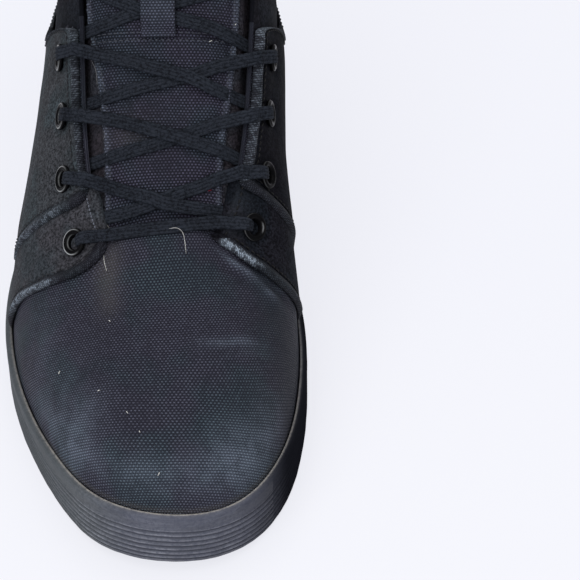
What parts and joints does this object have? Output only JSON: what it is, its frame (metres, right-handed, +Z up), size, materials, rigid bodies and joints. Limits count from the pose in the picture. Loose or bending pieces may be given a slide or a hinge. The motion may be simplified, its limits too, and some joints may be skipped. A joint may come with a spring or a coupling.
{
  "type": "ankle boot",
  "caption": "Right laced ankle boot: hollow canvas upper with front and rear side panels, padded collar, tongue, flat laces through metal eyelets, on a ribbed rubber cupsole.",
  "frame": {"origin": "on the floor under the middle of the sole", "axes": "+Z up, toe towards -Y, heel towards +Y, +X towards the wearer's inner (medial) side"},
  "size_m": [0.1102, 0.2988, 0.1623],
  "materials": {
    "rubber": "matte charcoal, with dust in the ribs",
    "waxed_canvas": "blue-black coarse waxed duck, worn lighter on its threads",
    "facing_cloth": "finer matte black waxed cloth",
    "footbed": "dark textile over foam",
    "lace_cloth": "flat ribbed black cotton lace",
    "black_metal": "black enamel, worn on the rims"
  },
  "bodies": {
    "root": {"cupsole": "rubber", "insole": "footbed", "upper": "waxed_canvas", "saddle_lateral": "facing_cloth", "saddle_medial": "facing_cloth", "quarter_lateral": "facing_cloth", "quarter_medial": "facing_cloth", "tongue": "waxed_canvas", "tongue_lace_loop": "waxed_canvas", "lace_bar": "lace_cloth", "lace_crossing_1": "lace_cloth", "lace_crossing_2": "lace_cloth", "lace_crossing_3": "lace_cloth", "lace_crossing_4": "lace_cloth", "eyelet_lateral_1": "black_metal", "eyelet_lateral_2": "black_metal", "eyelet_lateral_3": "black_metal", "eyelet_lateral_4": "black_metal", "eyelet_lateral_5": "black_metal", "eyelet_medial_1": "black_metal", "eyelet_medial_2": "black_metal", "eyelet_medial_3": "black_metal", "eyelet_medial_4": "black_metal", "eyelet_medial_5": "black_metal"}
  },
  "joints": []
}
